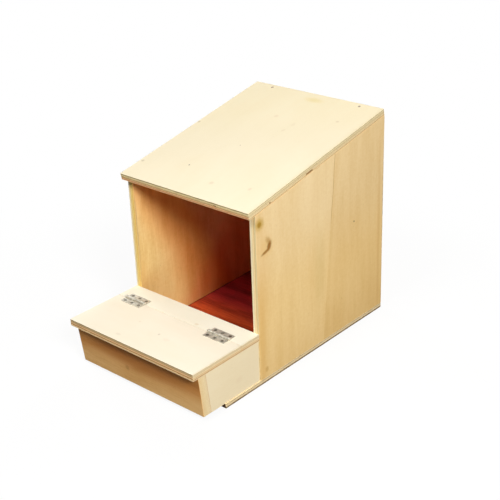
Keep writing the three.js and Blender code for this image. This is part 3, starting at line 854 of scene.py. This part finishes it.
# The finishes are those of the show face, the sawn edges and the back
boards = {
    "roofBoard": {
        "node": "roof_panel", "grain": alongY, "seed": 1, "slot": "pale_birch_ply",
        "finishes": ("roof", "roofSideEdge", "inside"), "frontEdge": "roofFrontEdge",
        "voids": [{"near": (75, -104, 320), "length": 7, "ply": 2, "deep": 2.2},
                  {"near": (160, 43, 350), "length": 19, "ply": 3, "deep": 1.6},
                  {"near": (160, -61, 330), "length": 4, "ply": 3, "deep": 1.4}]},
    "leftPanel": {
        "node": "left_side_panel", "shows": toLeft, "grain": alongZ, "seed": 2, "slot": "side_birch_ply",
        "finishes": ("side", "plyEdge", "inside"), "frontEdge": "leftFrontEdge"},
    "rightPanel": {
        "node": "right_side_panel", "shows": alongX, "grain": alongZ, "seed": 3, "slot": "side_birch_ply",
        "finishes": ("rightSide", "plyEdge", "inside"), "frontEdge": "rightFrontEdge"},
    "rearPanel": {
        "node": "rear_panel", "shows": alongY, "grain": alongZ, "seed": 4, "slot": "side_birch_ply",
        "finishes": ("side", "plyEdge", "inside")},
    "baseBoard": {
        "node": "base_board", "grain": alongY, "seed": 5, "plies": threePlies, "slot": "side_birch_ply",
        "finishes": ("traySide", "baseEdge", "side"), "frontEdge": "baseFrontEdgePaintedShade"},
    "nestFloor": {
        "node": "nest_floor", "grain": alongX, "seed": 6, "plies": threePlies, "arris": 0.25,
        "slot": "stained_floor", "finishes": ("floor", "floorEdge", "floor")},
    "rearCleat": {
        "node": "floor_rear_cleat", "grain": alongX, "seed": 7, "plies": solid, "arris": 0.5,
        "slot": "cleat_pine", "finishes": ("batten", "solidEdge", "batten")},
    "middleCleat": {
        "node": "floor_middle_cleat", "grain": alongX, "seed": 8, "plies": solid, "arris": 0.4,
        "slot": "cleat_pine", "finishes": ("batten", "solidEdge", "batten")},
    "trayLeftSide": {
        "node": "tray_left_side", "shows": toLeft, "grain": alongY, "seed": 9, "slot": "tray_birch_ply",
        "finishes": ("traySide", "plyEdge", "traySide")},
    "trayRightSide": {
        "node": "tray_right_side", "shows": alongX, "grain": alongY, "seed": 10, "slot": "tray_birch_ply",
        "finishes": ("trayRight", "plyEdge", "traySide")},
    "trayFront": {
        "node": "tray_front_board", "shows": toFront, "grain": alongX, "seed": 11, "plies": solid,
        "slot": "front_pine", "finishes": ("trayFront", "solidEdge", "trayFront")},
    "hingeStrip": {
        "node": "hinge_strip", "grain": alongX, "seed": 12, "slot": "pale_birch_ply",
        "finishes": ("strip", "plyEdge", "lid")},
    "lidBoard": {
        "node": "tray_lid", "grain": alongX, "seed": 13, "slot": "pale_birch_ply",
        "finishes": ("lid", "plyEdge", "lid"), "frontEdge": "lidFrontEdge", "body": lidBody},
}
for name, settings in boards.items():
    buildBoard(name, {**boardDefaults, **settings})
print("boards made:", len(boards))


# Steel of the hinge leaves, pins, screws, nails and brads. Its colours are linear
steelGrain = {
    "cloud": (160, 160, 160),
    "grit": (2400, 2400, 2400),
    "stain": (520, 520, 520),
    "scratch": (420, 5200, 5200),
    "cloudFrom": (0.35, 0.68),
    "stainFrom": (0.58, 0.74),
    "cloudPolish": 0.22,      # swing of the roughness with the clouds
    "stainPolish": 0.15,      # what a stain adds to it
    "scratchRelief": 0.5,
    "relief": 0.12,
}
steelLooks = {
    "zinc": {"colour": (0.70, 0.66, 0.55), "dull": (0.45, 0.41, 0.33), "stain": (0.14, 0.12, 0.09),
             "staining": 0.5, "metallic": 0.35, "roughness": 0.46, "bump": 0.12},
    "screwSteel": {"colour": (0.28, 0.26, 0.20), "dull": (0.15, 0.135, 0.105), "stain": (0.07, 0.06, 0.05),
                   "staining": 0.6, "metallic": 0.5, "roughness": 0.42, "bump": 0.10},
    "wire": {"colour": (0.55, 0.46, 0.34), "dull": (0.38, 0.30, 0.21), "stain": (0.24, 0.13, 0.06),
             "staining": 0.6, "metallic": 0.4, "roughness": 0.5, "bump": 0.2},
}


def steelMaterial(name, look):
    material, tree, shader = newMaterial(name)
    coords = objectCoords(tree)
    cloud = noiseAt(tree, coords, steelGrain["cloud"], detail=3)
    grit = noiseAt(tree, coords, steelGrain["grit"], detail=2)
    scratch = noiseAt(tree, coords, steelGrain["scratch"], detail=2)
    stain = noiseAt(tree, coords, steelGrain["stain"], detail=3, roughness=0.7)
    stain = mapRange(tree, stain, *steelGrain["stainFrom"])
    tone = blendColour(tree, mapRange(tree, cloud, *steelGrain["cloudFrom"]), look["colour"], look["dull"])
    tone = blendColour(tree, maths(tree, "MULTIPLY", stain, look["staining"]), tone, look["stain"])
    rough = maths(tree, "ADD", swing(tree, cloud, steelGrain["cloudPolish"]), look["roughness"])
    rough = maths(tree, "MULTIPLY_ADD", stain, steelGrain["stainPolish"], rough, clamp=True)
    feedAll(tree, shader, {"Base Color": tone, "Metallic": look["metallic"], "Roughness": rough})
    height = maths(tree, "MULTIPLY_ADD", scratch, steelGrain["scratchRelief"], grit)
    addBump(tree, shader, height, look["bump"], steelGrain["relief"])
    return material


steel = {name: steelMaterial(name, look) for name, look in steelLooks.items()}

# Hinge leaves and pins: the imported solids, with their flat faces joined up again and their edges eased
hinges = {"leafEase": 0.12, "pinEase": 0.08, "bevelSteps": 2, "bevelAngle": 38, "sharpAngle": 30,
          "mergeDistance": 0.001, "flatAngle": 1.5}


def softEdgedCopy(name, nodeName, width, body):
    data = nodes[nodeName].data.copy()
    mesh = bmesh.new()
    mesh.from_mesh(data)
    bmesh.ops.remove_doubles(mesh, verts=mesh.verts, dist=hinges["mergeDistance"] * mm)
    flatAngle = math.radians(hinges["flatAngle"])
    bmesh.ops.dissolve_limit(mesh, angle_limit=flatAngle, verts=mesh.verts, edges=mesh.edges)
    mesh.to_mesh(data)
    mesh.free()
    data.materials.clear()
    data.materials.append(steel["zinc"])
    host = addObject(name, data)
    bevel = host.modifiers.new("ease", "BEVEL")
    bevel.width, bevel.segments = width * mm, hinges["bevelSteps"]
    bevel.limit_method, bevel.angle_limit = "ANGLE", math.radians(hinges["bevelAngle"])
    keepResult(host, bevel, hinges["sharpAngle"])
    finishPiece(host, body, "zinc_steel", nodeName)


for side in ("left", "right"):
    softEdgedCopy(side + "HingeStripLeaf", side + "_hinge_strip_leaf", hinges["leafEase"], fixedBody)
    softEdgedCopy(side + "HingeLidLeaf", side + "_hinge_lid_leaf", hinges["leafEase"], lidBody)
    softEdgedCopy(side + "HingePin", side + "_hinge_pin", hinges["pinEase"], fixedBody)
print("hinges made")


# Fasteners, made by Geometry Nodes on points that stand at the middle of each head

def newGeometryTree(name, sizes):
    tree = bpy.data.node_groups.new(name, "GeometryNodeTree")
    tree.interface.new_socket(name="Geometry", in_out="INPUT", socket_type="NodeSocketGeometry")
    for label, value in sizes.items():
        socket = tree.interface.new_socket(name=label, in_out="INPUT", socket_type="NodeSocketFloat")
        socket.default_value = value * mm
    tree.interface.new_socket(name="Geometry", in_out="OUTPUT", socket_type="NodeSocketGeometry")
    return tree, addNode(tree, "NodeGroupInput"), addNode(tree, "NodeGroupOutput")


def coneAt(tree, sides, topRadius, bottomRadius, depth, drop):
    # A cone that stands on its own lower end, "drop" under the point
    cone = addNode(tree, "GeometryNodeMeshCone", {
        "Vertices": sides, "Radius Top": topRadius, "Radius Bottom": bottomRadius, "Depth": depth})
    shift = addNode(tree, "ShaderNodeCombineXYZ", {"Z": maths(tree, "MULTIPLY", drop, -1.0)})
    return addNode(tree, "GeometryNodeTransform", {
        "Geometry": cone.outputs["Mesh"], "Translation": shift.outputs[0]}).outputs[0]


def shankAt(tree, size, shape):
    tip = maths(tree, "MULTIPLY", size["Shank Radius"], shape["tipShare"])
    depth = maths(tree, "SUBTRACT", size["Length"], size["Head Height"])
    return coneAt(tree, shape["shankSides"], size["Shank Radius"], tip, depth, size["Length"])


def onPlaces(tree, points, head, shank, material, output):
    # Head and shank stand on the points, turned by the points' own "turn"
    join = addNode(tree, "GeometryNodeJoinGeometry")
    for part in (head, shank):
        tree.links.new(part, join.inputs[0])
    turn = addNode(tree, "GeometryNodeInputNamedAttribute", {"Name": "turn"}, data_type="FLOAT_VECTOR")
    rotation = addNode(tree, "FunctionNodeEulerToRotation", {"Euler": turn.outputs["Attribute"]})
    scatter = addNode(tree, "GeometryNodeInstanceOnPoints", {
        "Points": points, "Instance": join.outputs[0], "Rotation": rotation.outputs[0]})
    realize = addNode(tree, "GeometryNodeRealizeInstances", {"Geometry": scatter.outputs[0]})
    paint = addNode(tree, "GeometryNodeSetMaterial", {
        "Geometry": realize.outputs[0], "Material": material})
    feed(tree, output.inputs[0], paint.outputs[0])


def placesObject(name, places):
    # places: (point, direction in which the fastener is driven, turn about its own axis)
    data = bpy.data.meshes.new(name)
    data.from_pydata([p for p, _, _ in places], [], [])
    turns = data.attributes.new("turn", "FLOAT_VECTOR", "POINT")
    for item, (_, direction, spin) in zip(turns.data, places):
        rotation = (-Vector(direction)).to_track_quat("Z", "Y").to_matrix() @ Matrix.Rotation(spin, 3, "Z")
        item.vector = rotation.to_euler()
    return addObject(name, data)


def headPlaces(nodeNames, drive, spinStep):
    # The middle of each fastener's head, on the side that it was driven from
    places = []
    for i, nodeName in enumerate(nodeNames):
        low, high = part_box(nodeName)
        centre = (low + high) / 2
        reach = max(abs((v.co - centre).dot(drive)) for v in nodes[nodeName].data.vertices)
        places.append((centre - drive * reach, drive, i * spinStep))
    return places


def makeFasteners(name, prefix, tree, shape, drive, body, slotName):
    found = sorted(n for n in nodes if n.startswith(prefix))
    host = placesObject(name, headPlaces(found, drive, shape["spinStep"]))
    modifier = host.modifiers.new("make", "NODES")
    modifier.node_group = tree
    for item in tree.interface.items_tree:
        if item.in_out == "INPUT" and item.name in shape["sizes"]:
            modifier[item.identifier] = shape["sizes"][item.name] * mm
    keepResult(host, modifier, shape["sharpAngle"])
    finishPiece(host, body, slotName, *found)


# Countersunk screws with a cross recess. A spin step is the turn from one fastener to the next, in radians
screws = {
    "sizes": {"Head Radius": 3.0, "Head Height": 1.6, "Shank Radius": 1.4, "Length": 12.0,
              "Recess Length": 3.4, "Recess Width": 0.75, "Recess Depth": 1.2},
    "headSides": 40, "shankSides": 24, "tipShare": 0.25, "spinStep": math.radians(37), "sharpAngle": 35,
}


def screwTree():
    tree, source, output = newGeometryTree("countersunkScrews", screws["sizes"])
    size = source.outputs
    head = coneAt(tree, screws["headSides"], size["Head Radius"], size["Shank Radius"],
                  size["Head Height"], size["Head Height"])
    carve = addNode(tree, "GeometryNodeMeshBoolean", {"Mesh 1": head}, operation="DIFFERENCE")
    for lengthAxis, widthAxis in (("X", "Y"), ("Y", "X")):
        barSize = addNode(tree, "ShaderNodeCombineXYZ", {
            lengthAxis: size["Recess Length"], widthAxis: size["Recess Width"],
            "Z": maths(tree, "MULTIPLY", size["Recess Depth"], 2.0)})
        bar = addNode(tree, "GeometryNodeMeshCube", {"Size": barSize.outputs[0]})
        tree.links.new(bar.outputs["Mesh"], carve.inputs["Mesh 2"])
    shank = shankAt(tree, size, screws)
    onPlaces(tree, size["Geometry"], carve.outputs["Mesh"], shank, steel["screwSteel"], output)
    return tree


tree = screwTree()
for name, prefix, body in (("stripScrews", "strip_screw", fixedBody), ("lidScrews", "lid_screw", lidBody)):
    makeFasteners(name, prefix, tree, screws, Vector(toGround), body, "zinc_steel")
print("screws made")

# Wire nails in the roof: a thin round head, slightly domed
roofNails = {
    "sizes": {"Head Radius": 2.5, "Head Height": 0.8, "Shank Radius": 1.1, "Length": 35.0},
    "headSides": 28, "shankSides": 16, "domeShare": 0.86, "tipShare": 0.15, "spinStep": 1.0, "sharpAngle": 35,
}


def nailTree():
    tree, source, output = newGeometryTree("wireNails", roofNails["sizes"])
    size = source.outputs
    dome = maths(tree, "MULTIPLY", size["Head Radius"], roofNails["domeShare"])
    head = coneAt(tree, roofNails["headSides"], dome, size["Head Radius"],
                  size["Head Height"], size["Head Height"])
    onPlaces(tree, size["Geometry"], head, shankAt(tree, size, roofNails), steel["wire"], output)
    return tree


roofDrive = -normalOf(boardFaces("roof_panel", alongZ)[0])
makeFasteners("roofNails", "roof_nail", nailTree(), roofNails, roofDrive, fixedBody, "nail_steel")

# The brads' heads lie under the surface, so their solids only get their finish
for nodeName in [n for n in nodes if "brad" in n]:
    nodes[nodeName].data.materials.clear()
    nodes[nodeName].data.materials.append(steel["wire"])
print("nails made")


# Studio: a plain pale floor, a white surround and soft lamps. A glow of 1 is white, and the floor runs
# into the surround between the two glow distances from the box
studio = {"world": 0.09, "floorColour": 0.93, "floorBounce": 0.12, "floorReach": 30000, "floorDrop": 0.4,
          "nearGlow": 0.90, "farGlow": 1.0, "glowFrom": 350, "glowTo": 850, "lampDistance": 3000}


def onlySeen(tree):
    # 1 for rays from the camera, in mirrors and through glass, 0 for the light on things
    path = addNode(tree, "ShaderNodeLightPath")
    seen = maths(tree, "MAXIMUM", path.outputs["Is Camera Ray"], path.outputs["Is Glossy Ray"])
    return maths(tree, "MAXIMUM", seen, path.outputs["Is Transmission Ray"])


def makeFloor():
    reach, drop = studio["floorReach"] * mm, -studio["floorDrop"] * mm
    corners = [(x * reach, y * reach, drop) for x, y in ((-1, -1), (1, -1), (1, 1), (-1, 1))]
    data = bpy.data.meshes.new("studioFloor")
    data.from_pydata(corners, [], [(0, 1, 2, 3)])
    material = bpy.data.materials.new("studioFloor")
    data.materials.append(material)
    tree = clearedTree(material)
    seen = onlySeen(tree)
    shade = mapRange(tree, seen, 0, 1, studio["floorBounce"], studio["floorColour"], smooth=False)
    matt = addNode(tree, "ShaderNodeBsdfDiffuse", {"Color": shade})
    glow = addNode(tree, "ShaderNodeEmission", {"Strength": 1.0})
    away = vectorMaths(tree, "LENGTH", objectCoords(tree))
    share = mapRange(tree, away, studio["glowFrom"] * mm, studio["glowTo"] * mm,
                     studio["nearGlow"], studio["farGlow"])
    seenShare = maths(tree, "MULTIPLY", seen, share)
    mix = addNode(tree, "ShaderNodeMixShader")
    for socket, value in zip(mix.inputs, (seenShare, matt.outputs[0], glow.outputs[0])):
        feed(tree, socket, value)
    addNode(tree, "ShaderNodeOutputMaterial", {"Surface": mix.outputs[0]})
    addObject("studioFloor", data)


def makeWorld():
    world = bpy.data.worlds.new("studio")
    bpy.context.scene.world = world
    tree = clearedTree(world)
    strength = mapRange(tree, onlySeen(tree), 0, 1, studio["world"], 1.0, smooth=False)
    background = addNode(tree, "ShaderNodeBackground", {
        "Color": (1, 1, 1, 1), "Strength": strength})
    addNode(tree, "ShaderNodeOutputWorld", {"Surface": background.outputs[0]})


# Azimuth is measured from the front towards the box's right side
white = (1, 1, 1)
lamps = {
    "keyLamp": {"azimuth": 61, "elevation": 32, "size": 900, "power": 84, "colour": (1, 0.99, 0.97)},
    "frontLamp": {"azimuth": 0, "elevation": 53, "size": 850, "power": 32, "colour": white},
    "fillLamp": {"azimuth": 15, "elevation": 12, "size": 1200, "power": 3, "colour": white},
    "leftLamp": {"azimuth": -105, "elevation": 9, "size": 1200, "power": 48, "colour": white},
    "rearLamp": {"azimuth": 190, "elevation": 9, "size": 1200, "power": 48, "colour": white},
}


def directionTo(settings):
    a, e = math.radians(settings["azimuth"]), math.radians(settings["elevation"])
    return Vector((math.sin(a) * math.cos(e), -math.cos(a) * math.cos(e), math.sin(e)))


def makeLamps():
    centre = (cadLow + cadHigh) / 2
    for name, lamp in lamps.items():
        data = bpy.data.lights.new(name, "AREA")
        data.shape, data.size = "DISK", lamp["size"] * mm
        data.energy, data.color = lamp["power"], lamp["colour"]
        away = directionTo(lamp)
        holder = addObject(name, data)
        holder.location = centre + away * studio["lampDistance"] * mm
        holder.rotation_mode = "QUATERNION"
        holder.rotation_quaternion = away.to_track_quat("Z", "Y")
        holder.visible_camera = False


# The camera stands where the photograph was taken from
view = {"azimuth": 42.09, "elevation": 25.502, "roll": -2.188, "distance": 1892.74, "lens": 76.703,
        "sensor": 36.0, "clip": (50, 200000), "target": (45.837, 1.0, 192.285)}


def makeCamera():
    back, roll = directionTo(view), math.radians(view["roll"])
    right = (-back).cross(Vector(alongZ)).normalized()
    up = right.cross(-back)
    turnedRight = right * math.cos(roll) + up * math.sin(roll)
    turnedUp = up * math.cos(roll) - right * math.sin(roll)
    data = bpy.data.cameras.new("camera")
    data.sensor_width, data.lens = view["sensor"], view["lens"]
    data.clip_start, data.clip_end = (c * mm for c in view["clip"])
    camera = addObject("camera", data)
    place = Vector(view["target"]) * mm + back * view["distance"] * mm
    turn = Matrix((turnedRight, turnedUp, back)).transposed()
    camera.matrix_world = Matrix.Translation(place) @ turn.to_4x4()
    bpy.context.scene.camera = camera


makeFloor()
makeWorld()
makeLamps()
makeCamera()
bpy.context.scene.view_settings.view_transform = "Standard"
print("studio made")
